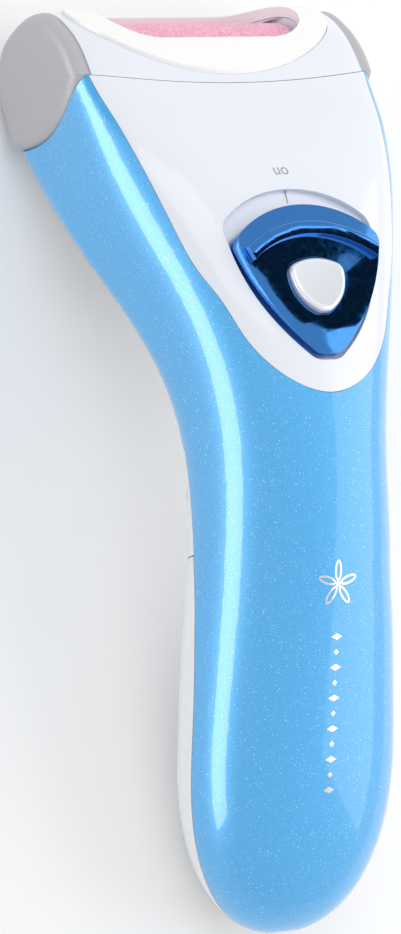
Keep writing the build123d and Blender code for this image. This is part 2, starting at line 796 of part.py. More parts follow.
with BuildPart() as motor_can:
    add(motor_round(can_radius, can_flat, can_left, can_right))
    add(motor_round(can_radius - can_wall, can_flat - can_wall, can_left + can_wall, can_right + 1),
        mode=Mode.SUBTRACT)
    add(rod_x(motor_boss_radius, motor_y, motor_z, -plate_x[1] + 0.2, can_left))
    add(rod_x(shaft_radius + shaft_gap, motor_y, motor_z, -40, 0), mode=Mode.SUBTRACT)
motor_can.part.label = "motor_can"
export_step(motor_can.part, "parts/motor_can.step")

end_cap_thickness = 1.8
terminal_offset = 5.4
terminal_places = [(motor_y + side * terminal_offset * math.sin(motor_turn),
                    motor_z + side * terminal_offset * math.cos(motor_turn)) for side in (1, -1)]
terminal_end = can_right + end_cap_thickness + 2.6

with BuildPart() as motor_end_cap:
    add(motor_round(can_radius, can_flat, can_right, can_right + end_cap_thickness))
    add(motor_round(can_radius - can_wall - fit_gap, can_flat - can_wall - fit_gap,
                    can_right - 1.6, can_right))
    add(rod_x(shaft_radius + shaft_gap, motor_y, motor_z, -5, 20), mode=Mode.SUBTRACT)
    for y, z in terminal_places:
        add(block(can_right + 0.6, 20, y - 1.0, y + 1.0, z - 0.25, z + 0.25), mode=Mode.SUBTRACT)
motor_end_cap.part.label = "motor_end_cap"
export_step(motor_end_cap.part, "parts/motor_end_cap.step")

with BuildPart() as motor_terminals:
    for y, z in terminal_places:
        add(block(can_right + 0.6, terminal_end, y - 1.0, y + 1.0, z - 0.25, z + 0.25))
motor_terminals.part.label = "motor_terminals"
export_step(motor_terminals.part, "parts/motor_terminals.step")

with BuildPart() as motor_magnets:
    with BuildSketch(Plane.YZ.offset(can_left + 3.0)):
        with Locations((motor_y, motor_z)):
            Circle(can_radius - can_wall)
            Rectangle(2 * (can_flat - can_wall), 2 * can_radius, rotation=-motor_direction,
                      mode=Mode.INTERSECT)
            Circle(6.6, mode=Mode.SUBTRACT)
            Rectangle(30, 9.0, rotation=-motor_direction, mode=Mode.SUBTRACT)
    extrude(amount=can_length - 8.0)
motor_magnets.part.label = "motor_magnets"
export_step(motor_magnets.part, "parts/motor_magnets.step")

with BuildPart() as motor_armature:
    with BuildSketch(Plane.YZ.offset(can_left + 4.0)):
        with Locations((motor_y, motor_z)):
            Circle(6.0)
            with PolarLocations(4.4, 3):
                Rectangle(3.4, 1.0, mode=Mode.SUBTRACT)
            Circle(shaft_radius, mode=Mode.SUBTRACT)
    extrude(amount=can_length - 11.0)
    with BuildSketch(Plane.YZ.offset(can_right - 7.0)):
        with Locations((motor_y, motor_z)):
            Circle(2.4)
            Circle(shaft_radius, mode=Mode.SUBTRACT)
    extrude(amount=4.0)
motor_armature.part.label = "motor_armature"
export_step(motor_armature.part, "parts/motor_armature.step")

with BuildPart() as motor_shaft:
    add(rod_x(shaft_radius, motor_y, motor_z, -gear_outer_x - 0.4, can_right + 1.5))
motor_shaft.part.label = "motor_shaft"
export_step(motor_shaft.part, "parts/motor_shaft.step")

with BuildPart() as motor_plate:
    add(common(loose_body, block(-plate_x[1], -plate_x[0], motor_y - 8.5, roller_y - 4, 5, 33)))
    add(rod_x(cradle_radius + 2 * fit_gap, roller_y, roller_axis_z, -40, 0), mode=Mode.SUBTRACT)
    add(block(-30, 0, roller_y - 9.5, roller_y, 0, 40), mode=Mode.SUBTRACT)
    add(rod_x(ear_radius, idler_y, idler_z, -plate_x[1], -plate_x[0]))
    add(rod_x(motor_boss_radius + thread_gap, motor_y, motor_z, -40, 0), mode=Mode.SUBTRACT)
    add(rod_x(pin_radius + thread_gap, idler_y, idler_z, -40, 0), mode=Mode.SUBTRACT)
motor_plate.part.label = "motor_plate"
export_step(motor_plate.part, "parts/motor_plate.step")

with BuildPart() as idler_pin:
    add(rod_x(pin_radius, idler_y, idler_z, -gear_outer_x - 1.0, -plate_x[0]))
    add(rod_x(pin_radius + 0.9, idler_y, idler_z, -gear_outer_x - 1.0, -gear_outer_x - 0.2))
idler_pin.part.label = "idler_pin"
export_step(idler_pin.part, "parts/idler_pin.step")

# ---------------------------------------------------------------- slide switch
slider_bottom = -dish_depth + sliding_gap
button_hole_floor = -1.95
button_bottom = -0.7
button_top = 1.75


def button_outline(grow):
    with BuildSketch() as outline:
        with BuildLine():
            top = ThreePointArc((-5.8, 2.2), (0, 3.8), (5.8, 2.2))
            right = ThreePointArc(top @ 1, (4.6, -3.6), (0.9, -6.8))
            low = Line(right @ 1, (-0.9, -6.8))
            ThreePointArc(low @ 1, (-4.6, -3.6), top @ 0)
        make_face()
        fillet(outline.vertices().filter_by_position(Axis.Y, 0, 4), radius=2.0)
        fillet(outline.vertices().filter_by_position(Axis.Y, -8, -6), radius=1.6)
        if grow > 0:
            offset(amount=grow)
    return redrawn(outline.sketch) if grow > 0 else outline.sketch


switch_side = Plane(origin=switch_plane.origin, x_dir=switch_plane.y_dir, z_dir=(1, 0, 0))

with BuildPart() as slider_wedge:
    with BuildSketch(switch_side.offset(-20)):
        with BuildLine():
            edge = Spline((-15.5, -1.0), (-8.0, 0.0), (0.0, 0.6), (8.0, 1.0), (15.5, 1.1))
            Polyline(edge @ 1, (15.5, -8), (-15.5, -8), edge @ 0)
        make_face()
    extrude(amount=40)

with BuildPart() as slider_ridge:
    with BuildSketch(switch_plane.offset(-0.5)):
        with BuildLine():
            low = ThreePointArc((-13.6, 3.4), (0, 8.2), (13.6, 3.4))
            right = Line(low @ 1, (14.6, 6.0))
            high = ThreePointArc(right @ 1, (0, 11.0), (-14.6, 6.0))
            Line(high @ 1, low @ 0)
        make_face()
    extrude(amount=2.9)
    fillet(slider_ridge.edges().filter_by(GeomType.CIRCLE).group_by(SortBy.LENGTH)[-1], radius=0.6)

with BuildPart() as switch_slider:
    add(slider_prism(0.0, slider_bottom, 4.0))
    add(slider_wedge.part, mode=Mode.INTERSECT)
    add(slider_ridge.part)
    with BuildSketch(switch_plane.offset(button_hole_floor)):
        add(button_outline(sliding_gap))
    extrude(amount=8, mode=Mode.SUBTRACT)
    add(rod_on(switch_plane, stem_radius, 0, 0, stem_bottom, button_hole_floor))
    add(rod_on(switch_plane, 3.0, 0, 0, stem_bottom + 0.5, button_hole_floor + 0.5),
        mode=Mode.SUBTRACT)
switch_slider.part.label = "switch_slider"
export_step(switch_slider.part, "parts/switch_slider.step")

with BuildPart() as lock_button:
    with BuildSketch(switch_plane.offset(button_bottom)):
        add(button_outline(0.0))
    extrude(amount=button_top - button_bottom)
    fillet(lock_button.faces().sort_by(Axis((0, 0, 0), switch_plane.z_dir))[-1].edges(), radius=0.9)
    add(rod_on(switch_plane, 1.6, 0, 0, button_bottom - 3.0, button_bottom))
lock_button.part.label = "lock_button"
export_step(lock_button.part, "parts/lock_button.step")

lock_wire = 0.3
lock_coil_radius = 2.25
lock_base = switch_plane.origin + switch_plane.z_dir * (stem_bottom + 0.5 + lock_wire)
lock_spring = coil(lock_base, switch_plane.z_dir, lock_coil_radius,
                   button_bottom - lock_wire - (stem_bottom + 0.5 + lock_wire), 3, lock_wire)
lock_spring.label = "lock_spring"
export_step(lock_spring, "parts/lock_spring.step")

carriage_top = pad_bottom - sliding_gap
lever_y = 4.2
switch_body_top = board_top + 3.0
with BuildPart() as switch_carriage:
    add(box_on(switch_plane, -7, 7, -4.9, 5.6, stem_bottom, carriage_top))
    add(rod_on(switch_plane, stem_radius + thread_gap, 0, 0, stem_bottom - 1, 0), mode=Mode.SUBTRACT)
    add(box_on(switch_plane, -0.8, 0.8, lever_y + 0.2, lever_y + 1.4, stem_bottom - 2.2, stem_bottom))
switch_carriage.part.label = "switch_carriage"
export_step(switch_carriage.part, "parts/switch_carriage.step")

with BuildPart() as micro_switch:
    add(box_on(switch_plane, -4.5, 4.5, 2.2, 12.0, board_top, switch_body_top))
    add(box_on(switch_plane, -0.8 - sliding_gap, 0.8 + sliding_gap, lever_y + 0.2 - sliding_gap,
               lever_y + 1.4 + switch_travel + sliding_gap, board_top + 1.0, 0), mode=Mode.SUBTRACT)
micro_switch.part.label = "micro_switch"
export_step(micro_switch.part, "parts/micro_switch.step")

board_bottom = board_top - board_thickness
with BuildPart() as circuit_board:
    add(box_on(switch_plane, -14, 14, -15.5, 13.0, board_bottom, board_top))
    for x, y in post_places:
        add(rod_on(switch_plane, 0.9, x, y, board_bottom - 1, board_top + 1), mode=Mode.SUBTRACT)
circuit_board.part.label = "circuit_board"
export_step(circuit_board.part, "parts/circuit_board.step")

with BuildPart() as board_screws:
    for x, y in post_places:
        add(rod_on(switch_plane, 0.78, x, y, board_bottom, board_top + 3.2))
        add(rod_on(switch_plane, 1.6, x, y, board_bottom - 1.0, board_bottom))
board_screws.part.label = "board_screws"
export_step(board_screws.part, "parts/board_screws.step")

# ---------------------------------------------------------------- batteries
cell_plane = Plane(origin=handle_plane.origin, x_dir=(1, 0, 0), z_dir=handle_plane.y_dir)
bay_half = bay_length / 2
plate_thickness = 0.4
cell_reach = bay_half - plate_thickness - 0.1
tray_wall = 1.6

with BuildPart() as battery_tray:
    add(box_on(handle_plane, -15.9, 15.9, -bay_half - tray_wall, bay_half + tray_wall, 0.4, 8.8))
    for side in (-1, 1):
        add(box_on(handle_plane, -15.0, 15.0, *sorted((side * bay_half, side * (bay_half + tray_wall))),
                   -6.0, 8.8))
    add(loose_body, mode=Mode.INTERSECT)
    for x in (-cell_spacing / 2, cell_spacing / 2):
        add(rod_on(cell_plane, cell_radius + fit_gap, x, 0, -bay_half, bay_half), mode=Mode.SUBTRACT)
        add(rod_on(cell_plane, 0.9, x, -4.0, bay_half - 1, bay_half + tray_wall + 1),
            mode=Mode.SUBTRACT)
battery_tray.part.label = "battery_tray"
export_step(battery_tray.part, "parts/battery_tray.step")


def battery(name, x, facing):
    """AA cell with its nub towards the head (1) or the handle tip (-1)."""
    nub_end = cell_reach * facing
    shoulder = (cell_reach - cell_nub) * facing
    flat_end = shoulder - cell_length * facing
    with BuildPart() as cell:
        add(rod_on(cell_plane, cell_radius, x, 0, min(shoulder, flat_end), max(shoulder, flat_end)))
        chamfer(cell.edges().filter_by(GeomType.CIRCLE), length=0.4)
        add(rod_on(cell_plane, cell_nub_radius, x, 0, min(shoulder, nub_end), max(shoulder, nub_end)))
    cell.part.label = name
    export_step(cell.part, f"parts/{name}.step")
    return flat_end


cell_nub_radius = 2.7
left_flat = battery("battery_left", -cell_spacing / 2, 1)
right_flat = battery("battery_right", cell_spacing / 2, -1)

with BuildPart() as contact_plates:
    for x in (-cell_spacing / 2, cell_spacing / 2):
        for side in (-1, 1):
            near, far = sorted((side * (bay_half - 0.05), side * (bay_half - plate_thickness - 0.05)))
            add(box_on(handle_plane, x - 4.8, x + 4.8, near, far, -4.5, 4.4))
    add(box_on(handle_plane, -cell_spacing / 2, cell_spacing / 2, -bay_half + 0.05,
               -bay_half + plate_thickness + 0.05, -4.5, 0.2))
contact_plates.part.label = "contact_plates"
export_step(contact_plates.part, "parts/contact_plates.step")

contact_wire = 0.3
contact_height = bay_length - 2 * plate_thickness - cell_nub - cell_length - 0.2 - 2 * contact_wire
with BuildPart() as contact_springs:
    for x, side in ((-cell_spacing / 2, -1), (cell_spacing / 2, 1)):
        start = side * (bay_half - plate_thickness - 0.06 - contact_wire)
        place = cell_plane.from_local_coords((x, 0, start))
        add(coil(place, cell_plane.z_dir * -side, 3.6, contact_height, 3, contact_wire, cone=-12))
contact_springs.part.label = "contact_springs"
export_step(contact_springs.part, "parts/contact_springs.step")

# ---------------------------------------------------------------- leads
lead_radius = 0.6


def lead(points):
    with BuildPart() as wire:
        with BuildLine() as path:
            Spline(*points)
        with BuildSketch(Plane(origin=path.line @ 0, z_dir=path.line % 0)):
            Circle(lead_radius)
        sweep()
    return wire.part


lead_end_z = board_bottom - 0.05


def board_end(x, y):
    """Last two points of a lead that meets the board square on."""
    return [switch_plane.from_local_coords((x, y, lead_end_z - 3.5)),
            switch_plane.from_local_coords((x, y, lead_end_z - 1.2)),
            switch_plane.from_local_coords((x, y, lead_end_z))]


with BuildPart() as battery_leads:
    for side in (-1, 1):
        x = side * cell_spacing / 2
        add(lead([handle_plane.from_local_coords((x, bay_half + 0.1, 4.0)),
                  handle_plane.from_local_coords((x, bay_half + 2.0, 4.0)),
                  (x, -2.0, 34.5), *board_end(side * 6.0, -12.0)]))
battery_leads.part.label = "battery_leads"
export_step(battery_leads.part, "parts/battery_leads.step")

with BuildPart() as motor_leads:
    for (y, z), reach, x, along in ((terminal_places[0], 3.0, 6.0, 9.0),
                                    (terminal_places[1], 5.5, 10.5, 4.5)):
        add(lead([(terminal_end + 0.05, y, z), (terminal_end + 1.2, y, z),
                  (terminal_end + reach, y - 5.0, z + 1.5), *board_end(x, along)]))
motor_leads.part.label = "motor_leads"
export_step(motor_leads.part, "parts/motor_leads.step")
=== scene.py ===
"""Finishes, printed marks and studio of the electric callus remover."""
import json
import math

import bmesh
import bpy
from bpy.props import FloatProperty, FloatVectorProperty, PointerProperty
from mathutils import Matrix, Vector
from mathutils.bvhtree import BVHTree

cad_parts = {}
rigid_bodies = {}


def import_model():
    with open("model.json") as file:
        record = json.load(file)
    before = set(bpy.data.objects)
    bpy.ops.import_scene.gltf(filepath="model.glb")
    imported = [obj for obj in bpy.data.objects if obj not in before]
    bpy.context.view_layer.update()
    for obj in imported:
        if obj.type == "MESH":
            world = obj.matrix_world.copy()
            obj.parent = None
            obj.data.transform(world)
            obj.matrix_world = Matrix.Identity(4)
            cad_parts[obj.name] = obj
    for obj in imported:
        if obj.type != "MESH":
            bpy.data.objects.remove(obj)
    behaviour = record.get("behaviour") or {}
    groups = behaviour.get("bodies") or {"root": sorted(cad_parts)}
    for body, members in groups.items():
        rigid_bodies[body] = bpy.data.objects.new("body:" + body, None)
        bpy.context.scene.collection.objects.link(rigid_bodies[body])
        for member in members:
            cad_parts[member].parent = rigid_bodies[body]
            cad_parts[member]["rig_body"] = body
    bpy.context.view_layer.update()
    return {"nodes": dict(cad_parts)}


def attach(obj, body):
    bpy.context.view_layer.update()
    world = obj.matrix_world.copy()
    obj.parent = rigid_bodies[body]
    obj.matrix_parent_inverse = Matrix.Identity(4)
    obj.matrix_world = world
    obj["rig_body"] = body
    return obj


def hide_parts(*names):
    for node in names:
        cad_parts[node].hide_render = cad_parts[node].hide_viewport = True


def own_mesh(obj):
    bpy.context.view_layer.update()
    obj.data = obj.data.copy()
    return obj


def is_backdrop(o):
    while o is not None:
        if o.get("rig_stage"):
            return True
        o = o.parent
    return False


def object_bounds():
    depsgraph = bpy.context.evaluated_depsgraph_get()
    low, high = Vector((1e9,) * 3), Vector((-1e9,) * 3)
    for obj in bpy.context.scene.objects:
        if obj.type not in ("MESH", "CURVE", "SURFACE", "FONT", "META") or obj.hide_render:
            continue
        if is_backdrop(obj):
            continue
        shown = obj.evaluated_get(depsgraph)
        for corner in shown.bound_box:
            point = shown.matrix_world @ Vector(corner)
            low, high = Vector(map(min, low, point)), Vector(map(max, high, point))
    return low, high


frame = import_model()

bl_info = {
    "name": "Callus remover looks",
    "version": (1, 0, 0),
    "blender": (4, 5, 0),
    "location": "View3D > Sidebar > Callus remover",
    "description": "Finishes, marks and studio for the electric callus remover",
    "category": "Object",
}

MM = 0.001
SWITCH_SLOPE = math.radians(10.4)
SWITCH_UP = Vector((0.0, math.sin(SWITCH_SLOPE), math.cos(SWITCH_SLOPE)))
SWITCH_CENTRE = Vector((0.0, 29.0, 50.9)) * MM
CELL_SLOPE = math.radians(15.5)
MARK_LIFT = 0.04 * MM
INK_LIFT = 0.03 * MM


def colour_property(name, description, default):
    return FloatVectorProperty(name=name, description=description, subtype="COLOR", size=3,
                               min=0.0, max=1.0, default=default)


class CallusFinishes(bpy.types.PropertyGroup):
    """Colours of the visible plastic and metal."""

    pearl: colour_property("Pearl blue", "Front shell", (0.060, 0.425, 0.86))
    pearl_speck: colour_property("Pearl speck", "Mica flakes in the front shell", (0.52, 0.86, 1.0))
    white: colour_property("Shell white", "Back shell and battery cover", (0.84, 0.86, 0.89))
    panel: colour_property("Panel white", "Face panel and roller housing", (0.80, 0.83, 0.90))
    bezel: colour_property("Bezel white", "Ring round the roller window", (0.93, 0.925, 0.92))
    cap: colour_property("Cap grey", "End caps of the head", (0.46, 0.46, 0.49))
    roller: colour_property("Roller pink", "Abrasive roller", (0.90, 0.44, 0.60))
    switch: colour_property("Switch blue", "Plated slide switch", (0.012, 0.20, 0.62))
    button: colour_property("Button silver", "Lock button", (0.86, 0.90, 0.95))
    foil: colour_property("Foil silver", "Ornament on the handle", (0.72, 0.76, 0.80))


class CallusMarks(bpy.types.PropertyGroup):
    """Places and sizes of the marks on the front."""

    ornament_y: FloatProperty(name="Ornament place", description="Centre of the flower along the handle",
                              default=-27.5 * MM, unit="LENGTH", precision=4)
    petal_length: FloatProperty(name="Petal length", description="Length of one petal",
                                default=3.9 * MM, unit="LENGTH", precision=4)
    row_start_y: FloatProperty(name="Row start", description="Upper end of the row of lozenges",
                               default=-37.0 * MM, unit="LENGTH", precision=4)
    row_pitch: FloatProperty(name="Row pitch", description="Distance between lozenges",
                             default=2.75 * MM, unit="LENGTH", precision=4)
    label_y: FloatProperty(name="Label place", description="Centre of the word on the panel",
                           default=50.8 * MM, unit="LENGTH", precision=4)
    index_y: FloatProperty(name="Index place", description="Centre of the index line on the panel",
                           default=46.1 * MM, unit="LENGTH", precision=4)


class CallusStudio(bpy.types.PropertyGroup):
    """Camera and light."""

    distance: FloatProperty(name="Camera distance", description="From the object to the camera",
                            default=1.2, unit="LENGTH")
    lens: FloatProperty(name="Lens", description="Focal length", default=245.0, unit="CAMERA")
    fill: FloatProperty(name="Fill", description="Brightness of the room", default=0.80, min=0.0)
    left_strip: FloatProperty(name="Left strip", description="Power of the low strip light",
                              default=0.24, min=0.0)
    right_box: FloatProperty(name="Right box", description="Power of the large soft box",
                             default=1.1, min=0.0)
    top_box: FloatProperty(name="Top box", description="Power of the overhead soft box",
                           default=1.6, min=0.0)


# ---------------------------------------------------------------- shader groups
def shader_group(name, inputs, outputs):
    group = bpy.data.node_groups.new(name, "ShaderNodeTree")
    for label, kind, default in inputs:
        socket = group.interface.new_socket(label, in_out="INPUT", socket_type=kind)
        if default is not None:
            socket.default_value = default
    for label, kind in outputs:
        group.interface.new_socket(label, in_out="OUTPUT", socket_type=kind)
    return group, group.nodes.new("NodeGroupInput"), group.nodes.new("NodeGroupOutput")


def add_node(tree, kind, **settings):
    node = tree.nodes.new(kind)
    for label, value in settings.items():
        setattr(node, label, value)
    return node


def join(tree, source, target):
    tree.links.new(source, target)


def math_node(tree, operation, first, second):
    node = add_node(tree, "ShaderNodeMath", operation=operation)
    for socket, value in zip(node.inputs, (first, second)):
        if isinstance(value, (int, float)):
            socket.default_value = value
        else:
            join(tree, value, socket)
    return node.outputs[0]


def scaled_noise(tree, vector, scale, share, detail):
    """Noise whose scale is a share of a scale socket."""
    noise = add_node(tree, "ShaderNodeTexNoise")
    noise.inputs["Detail"].default_value = detail
    join(tree, vector, noise.inputs["Vector"])
    join(tree, math_node(tree, "MULTIPLY", scale, share), noise.inputs["Scale"])
    return noise.outputs["Fac"]


def tinted(tree, colour, mask, amount, low, high):
    """A colour made darker and lighter by a mask. The amount is a number or a socket."""
    ramp = add_node(tree, "ShaderNodeMapRange")
    join(tree, mask, ramp.inputs["Value"])
    ramp.inputs["To Min"].default_value = low
    ramp.inputs["To Max"].default_value = high
    mix = add_node(tree, "ShaderNodeMix", data_type="RGBA", blend_type="MULTIPLY")
    if isinstance(amount, float):
        mix.inputs["Factor"].default_value = amount
    else:
        join(tree, amount, mix.inputs["Factor"])
    join(tree, colour, mix.inputs["A"])
    join(tree, ramp.outputs[0], mix.inputs["B"])
    return mix.outputs["Result"]


def make_moulded_group():
    """Moulded plastic: faint flow marks in the colour, fine spark grain, handled patches."""
    group, inside, outside = shader_group(
        "moulded_plastic",
        [("Vector", "NodeSocketVector", None), ("Color", "NodeSocketColor", None),
         ("Roughness", "NodeSocketFloat", 0.3), ("Variation", "NodeSocketFloat", 0.1),
         ("Scale", "NodeSocketFloat", 2500.0)],
        [("Color", "NodeSocketColor"), ("Roughness", "NodeSocketFloat"),
         ("Height", "NodeSocketFloat")])
    vector, scale = inside.outputs["Vector"], inside.outputs["Scale"]
    grain = scaled_noise(group, vector, scale, 1.0, 3.0)
    flow = scaled_noise(group, vector, scale, 0.012, 4.0)
    patches = scaled_noise(group, vector, scale, 0.03, 5.0)
    join(group, tinted(group, inside.outputs["Color"], flow, inside.outputs["Variation"], 0.7, 1.25),
         outside.inputs["Color"])
    spread = math_node(group, "SUBTRACT", patches, 0.5)
    spread = math_node(group, "MULTIPLY", spread, inside.outputs["Variation"])
    join(group, math_node(group, "ADD", inside.outputs["Roughness"], spread),
         outside.inputs["Roughness"])
    join(group, grain, outside.inputs["Height"])
    return group


def make_flake_group():
    """Mica flakes: small cells, a few of them bright, each with its own tilt."""
    group, inside, outside = shader_group(
        "mica_flakes",
        [("Vector", "NodeSocketVector", None), ("Color", "NodeSocketColor", None),
         ("Flake", "NodeSocketColor", None), ("Scale", "NodeSocketFloat", 3200.0),
         ("Share", "NodeSocketFloat", 0.08)],
        [("Color", "NodeSocketColor"), ("Mask", "NodeSocketFloat"), ("Height", "NodeSocketFloat")])
    cells = add_node(group, "ShaderNodeTexVoronoi", feature="F1")
    join(group, inside.outputs["Vector"], cells.inputs["Vector"])
    join(group, inside.outputs["Scale"], cells.inputs["Scale"])
    parts = add_node(group, "ShaderNodeSeparateColor")
    join(group, cells.outputs["Color"], parts.inputs[0])
    bright = math_node(group, "LESS_THAN", parts.outputs[0], inside.outputs["Share"])
    size = math_node(group, "LESS_THAN", cells.outputs["Distance"], 0.42)
    mask = math_node(group, "MULTIPLY", bright, size)
    soft = math_node(group, "MULTIPLY", mask, math_node(group, "ADD", parts.outputs[1], 0.25))
    mix = add_node(group, "ShaderNodeMix", data_type="RGBA")
    join(group, math_node(group, "MULTIPLY", soft, 0.6), mix.inputs["Factor"])
    join(group, inside.outputs["Color"], mix.inputs["A"])
    join(group, inside.outputs["Flake"], mix.inputs["B"])
    join(group, mix.outputs["Result"], outside.inputs["Color"])
    join(group, mask, outside.inputs["Mask"])
    join(group, math_node(group, "MULTIPLY", mask, parts.outputs[2]), outside.inputs["Height"])
    return group


def make_metal_group():
    """Drawn or turned metal: fine streaks across the stretch of the vector, faint tarnish."""
    group, inside, outside = shader_group(
        "worked_metal",
        [("Vector", "NodeSocketVector", None), ("Color", "NodeSocketColor", None),
         ("Roughness", "NodeSocketFloat", 0.25), ("Scale", "NodeSocketFloat", 2000.0)],
        [("Color", "NodeSocketColor"), ("Roughness", "NodeSocketFloat"),
         ("Height", "NodeSocketFloat")])
    vector, scale = inside.outputs["Vector"], inside.outputs["Scale"]
    streaks = scaled_noise(group, vector, scale, 1.0, 2.0)
    tarnish = scaled_noise(group, vector, scale, 0.06, 4.0)
    join(group, tinted(group, inside.outputs["Color"], tarnish, 0.5, 0.6, 1.2),
         outside.inputs["Color"])
    spread = math_node(group, "MULTIPLY", math_node(group, "SUBTRACT", streaks, 0.5), 0.25)
    join(group, math_node(group, "ADD", inside.outputs["Roughness"], spread),
         outside.inputs["Roughness"])
    join(group, streaks, outside.inputs["Height"])
    return group


def make_grit_group():
    """Bonded abrasive: coarse grains standing in resin, with paler and darker grains."""
    group, inside, outside = shader_group(
        "abrasive_grit",
        [("Vector", "NodeSocketVector", None), ("Color", "NodeSocketColor", None),
         ("Scale", "NodeSocketFloat", 3000.0)],
        [("Color", "NodeSocketColor"), ("Height", "NodeSocketFloat")])
    cells = add_node(group, "ShaderNodeTexVoronoi", feature="F1")
    join(group, inside.outputs["Vector"], cells.inputs["Vector"])
    join(group, inside.outputs["Scale"], cells.inputs["Scale"])
    parts = add_node(group, "ShaderNodeSeparateColor")
    join(group, cells.outputs["Color"], parts.inputs[0])
    join(group, tinted(group, inside.outputs["Color"], parts.outputs[0], 0.6, 0.72, 1.3),
         outside.inputs["Color"])
    dome = math_node(group, "SUBTRACT", 1.0, cells.outputs["Distance"])
    join(group, math_node(group, "MULTIPLY", dome, parts.outputs[1]), outside.inputs["Height"])
    return group


# ---------------------------------------------------------------- materials
def start_material(name, **sockets):
    material = bpy.data.materials.new(name)
    material.use_nodes = True
    tree = material.node_tree
    tree.nodes.clear()
    shader = add_node(tree, "ShaderNodeBsdfPrincipled")
    output = add_node(tree, "ShaderNodeOutputMaterial")
    join(tree, shader.outputs[0], output.inputs["Surface"])
    for label, value in sockets.items():
        shader.inputs[label.replace("_", " ")].default_value = value
    place = add_node(tree, "ShaderNodeTexCoord").outputs["Object"]
    return material, tree, shader, place


def use_group(tree, name, **values):
    node = add_node(tree, "ShaderNodeGroup", node_tree=bpy.data.node_groups[name])
    for label, value in values.items():
        socket = node.inputs[label]
        if isinstance(value, bpy.types.NodeSocket):
            join(tree, value, socket)
        else:
            socket.default_value = value
    return node


def bumped(tree, shader, height, distance, strength):
    bump = add_node(tree, "ShaderNodeBump")
    bump.inputs["Strength"].default_value = strength
    bump.inputs["Distance"].default_value = distance
    join(tree, height, bump.inputs["Height"])
    join(tree, bump.outputs[0], shader.inputs["Normal"])


def rgba(colour):
    return (*colour[:3], 1.0)


def plastic(name, colour, roughness=0.3, variation=0.08, scale=2500.0, strength=0.12, **sockets):
    """A moulded plastic. The colour may be a socket."""
    material, tree, shader, place = start_material(name, **sockets)
    if not isinstance(colour, bpy.types.NodeSocket):
        colour = rgba(colour)
    node = use_group(tree, "moulded_plastic", Vector=place, Color=colour, Roughness=roughness,
                     Variation=variation, Scale=scale)
    join(tree, node.outputs["Color"], shader.inputs["Base Color"])
    join(tree, node.outputs["Roughness"], shader.inputs["Roughness"])
    bumped(tree, shader, node.outputs["Height"], 0.00004, strength)
    return material


def metal(name, colour, roughness=0.25, scale=2000.0, stretch=(1.0, 1.0, 1.0), strength=0.15,
          **sockets):
    material, tree, shader, place = start_material(name, Metallic=1.0, **sockets)
    mapping = add_node(tree, "ShaderNodeMapping")
    mapping.inputs["Scale"].default_value = stretch
    join(tree, place, mapping.inputs["Vector"])
    node = use_group(tree, "worked_metal", Vector=mapping.outputs[0], Color=rgba(colour),
                     Roughness=roughness, Scale=scale)
    join(tree, node.outputs["Color"], shader.inputs["Base Color"])
    join(tree, node.outputs["Roughness"], shader.inputs["Roughness"])
    bumped(tree, shader, node.outputs["Height"], 0.00003, strength)
    return material


def banded(name, node_name, axis, bands, metallic_bands, roughness=0.3):
    """Bands of colour along an axis of one node: (share of the length where a band starts, colour)."""
    axis = Vector(axis).normalized()
    places = [vertex.co.dot(axis) for vertex in frame["nodes"][node_name].data.vertices]
    low, high = min(places), max(places)
    material, tree, shader, place = start_material(name, Roughness=roughness)
    along = add_node(tree, "ShaderNodeVectorMath", operation="DOT_PRODUCT")
    join(tree, place, along.inputs[0])
    along.inputs[1].default_value = axis
    share = add_node(tree, "ShaderNodeMapRange")
    share.inputs["From Min"].default_value = low
    share.inputs["From Max"].default_value = high
    join(tree, along.outputs["Value"], share.inputs["Value"])
    colours = band_ramp(tree, share.outputs[0], bands)
    node = use_group(tree, "moulded_plastic", Vector=place, Color=colours, Roughness=roughness,
                     Variation=0.15, Scale=1800.0)
    join(tree, node.outputs["Color"], shader.inputs["Base Color"])
    join(tree, node.outputs["Roughness"], shader.inputs["Roughness"])
    metals = band_ramp(tree, share.outputs[0], [(at, (value,) * 3) for at, value in metallic_bands])
    join(tree, metals, shader.inputs["Metallic"])
    bumped(tree, shader, node.outputs["Height"], 0.00003, 0.1)
    return material


def band_ramp(tree, share, bands):
    ramp = add_node(tree, "ShaderNodeValToRGB")
    ramp.color_ramp.interpolation = "CONSTANT"
    while len(ramp.color_ramp.elements) < len(bands):
        ramp.color_ramp.elements.new(0.5)
    for element, (at, colour) in zip(ramp.color_ramp.elements, sorted(bands)):
        element.position = at
    for element, (at, colour) in zip(ramp.color_ramp.elements, sorted(bands)):
        element.color = rgba(colour)
    join(tree, share, ramp.inputs["Fac"])
    return ramp.outputs["Color"]


def dress(node_name, material):
    """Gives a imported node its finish."""
    piece = frame["nodes"].get(node_name)
    if piece is None:
        raise RuntimeError("no node named " + node_name)
    if not piece.material_slots:
        piece.data.materials.append(material)
    for slot in piece.material_slots:
        slot.material = material


# ---------------------------------------------------------------- marks
def surface_of(node_name):
    mesh = frame["nodes"][node_name].data
    return BVHTree.FromPolygons([v.co.copy() for v in mesh.vertices],
                                [tuple(p.vertices) for p in mesh.polygons])


def laid_on(mesh, surface, lift):
    """Drops every vertex of a flat outline down onto a surface, a little proud of it."""
    for vertex in mesh.verts:
        start = Vector((vertex.co.x, vertex.co.y, 0.2))
        place, normal, index, distance = surface.ray_cast(start, Vector((0, 0, -1)))
        if place is None:
            raise RuntimeError("a mark reaches past the surface it lies on")
        vertex.co = place + Vector((0, 0, lift))


